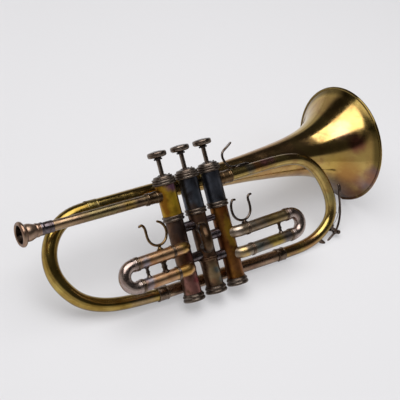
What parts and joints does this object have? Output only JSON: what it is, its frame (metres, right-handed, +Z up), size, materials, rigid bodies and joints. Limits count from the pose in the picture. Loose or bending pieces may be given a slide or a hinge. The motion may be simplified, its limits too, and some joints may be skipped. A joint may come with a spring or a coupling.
{
  "type": "flugelhorn",
  "caption": "Flugelhorn: conical bell and bows around a valve block, piston valves with finger buttons, valve slides, mouthpipe, mouthpiece, hooks and water key.",
  "frame": {"origin": "on the first valve's axis, at the flat underside of its bottom cap", "axes": "+X from the mouthpiece towards the bell, +Z up along the valves towards the finger buttons, -Y towards the player's right hand side"},
  "size_m": [0.4513, 0.1467, 0.1846],
  "materials": {
    "mouthpiece_silver": "worn silver plate over brass, rosy brown tarnish",
    "dark_sleeve": "dark grey plated sleeve",
    "leadpipe_brass": "aged olive gold brass",
    "bell_brass": "aged gold lacquer with rose and purple patina",
    "bow_brass": "bright golden brass",
    "branch_brass": "pinkish grey brown tarnished brass",
    "loop_brass": "brass with pink and purple heat patches",
    "ferrule_bronze": "dark bronze with bright edges",
    "cap_bronze": "dark pewter bronze",
    "knuckle_grey": "grey nickel silver",
    "casing_gold": "golden brown lacquered brass",
    "casing_gunmetal": "blue black gunmetal",
    "casing_brown": "dark brown lacquered brass",
    "casing_amber": "amber lacquered brass",
    "slide_copper": "coppery brass",
    "slide_nickel": "nickel silver with brassy patches",
    "leg_nickel": "polished nickel silver",
    "crook_nickel": "pinkish nickel silver",
    "dark_steel": "dark steel",
    "wire_steel": "bright spring wire",
    "stem_pewter": "dark pewter",
    "piston_nickel": "lapped nickel plate",
    "felt": "dark red felt",
    "cork": "cork pad"
  },
  "bodies": {
    "root": {"bell": "bell_brass", "bell_bow": "bow_brass", "bell_braces": "ferrule_bronze", "bell_rim_wire": "wire_steel", "bottom_caps": "cap_bronze", "bow_ferrules": "ferrule_bronze", "branch_braces": "ferrule_bronze", "branch_tube": "branch_brass", "casing_rings": "ferrule_bronze", "crossover_tubes_1_2": "knuckle_grey", "crossover_tubes_2_3": "knuckle_grey", "exit_bow": "loop_brass", "exit_socket": "ferrule_bronze", "little_finger_hook": "dark_steel", "lower_casing_1": "casing_brown", "lower_casing_2": "casing_brown", "lower_casing_3": "casing_amber", "mouthpipe_socket": "leadpipe_brass", "slide_1_hook": "dark_steel", "slide_1_outer_tubes": "slide_copper", "slide_1_posts": "dark_steel", "slide_2_outer_tubes": "slide_copper", "slide_3_hook": "dark_steel", "slide_3_outer_tubes": "slide_nickel", "slide_3_posts": "dark_steel", "slide_bands": "ferrule_bronze", "top_caps": "cap_bronze", "upper_casing_1": "casing_gold", "upper_casing_2": "casing_gunmetal", "upper_casing_3": "casing_gunmetal", "valve_spring_1": "wire_steel", "valve_spring_2": "wire_steel", "valve_spring_3": "wire_steel", "water_key_saddle": "dark_steel", "water_key_screw": "dark_steel"},
    "mouthpipe": {"mouthpipe": "leadpipe_brass", "mouthpiece_receiver": "dark_sleeve"},
    "mouthpiece": {"mouthpiece": "mouthpiece_silver"},
    "slide_1": {"slide_1_legs": "leg_nickel", "slide_1_bow": "crook_nickel"},
    "slide_2": {"slide_2_legs": "leg_nickel", "slide_2_bow": "slide_copper"},
    "slide_3": {"slide_3_legs": "leg_nickel", "slide_3_bow": "crook_nickel"},
    "water_key": {"water_key_lever": "dark_steel", "water_key_cork": "cork", "water_key_spring": "wire_steel"},
    "valve_1": {"piston_1": "piston_nickel", "valve_stem_1": "stem_pewter", "finger_button_1": "stem_pewter", "button_felt_1": "felt"},
    "valve_2": {"piston_2": "piston_nickel", "valve_stem_2": "stem_pewter", "finger_button_2": "stem_pewter", "button_felt_2": "felt"},
    "valve_3": {"piston_3": "piston_nickel", "valve_stem_3": "stem_pewter", "finger_button_3": "stem_pewter", "button_felt_3": "felt"}
  },
  "joints": [
    {"name": "valve_1_press", "type": "slide", "parent": "root", "child": "valve_1", "axis": [0, 0, -1], "range_m": [0, 0.0155], "stiffness_N_per_m": 250, "springref_m": -0.01, "deforming": ["valve_spring_1"]},
    {"name": "valve_2_press", "type": "slide", "parent": "root", "child": "valve_2", "axis": [0, 0, -1], "range_m": [0, 0.0155], "stiffness_N_per_m": 250, "springref_m": -0.01, "deforming": ["valve_spring_2"]},
    {"name": "valve_3_press", "type": "slide", "parent": "root", "child": "valve_3", "axis": [0, 0, -1], "range_m": [0, 0.0155], "stiffness_N_per_m": 250, "springref_m": -0.01, "deforming": ["valve_spring_3"]},
    {"name": "slide_1_pull", "type": "slide", "parent": "root", "child": "slide_1", "axis": [-1, 0, 0], "range_m": [0, 0.02]},
    {"name": "slide_2_pull", "type": "slide", "parent": "root", "child": "slide_2", "axis": [-0.4067, -0.9135, 0], "range_m": [0, 0.007]},
    {"name": "slide_3_pull", "type": "slide", "parent": "root", "child": "slide_3", "axis": [1, 0, 0], "range_m": [0, 0.025]},
    {"name": "mouthpipe_tuning", "type": "slide", "parent": "root", "child": "mouthpipe", "axis": [-0.9997, 0, 0.0236], "range_m": [0, 0.01]},
    {"name": "mouthpiece_pull", "type": "slide", "parent": "mouthpipe", "child": "mouthpiece", "axis": [-0.9997, 0, 0.0236], "range_m": [0, 0.02]},
    {"name": "water_key_press", "type": "hinge", "parent": "root", "child": "water_key", "pos_m": [0.225, 0.01965, 0.0122], "axis": [0, -0.9829, -0.1843], "range_deg": [0, 7]}
  ]
}
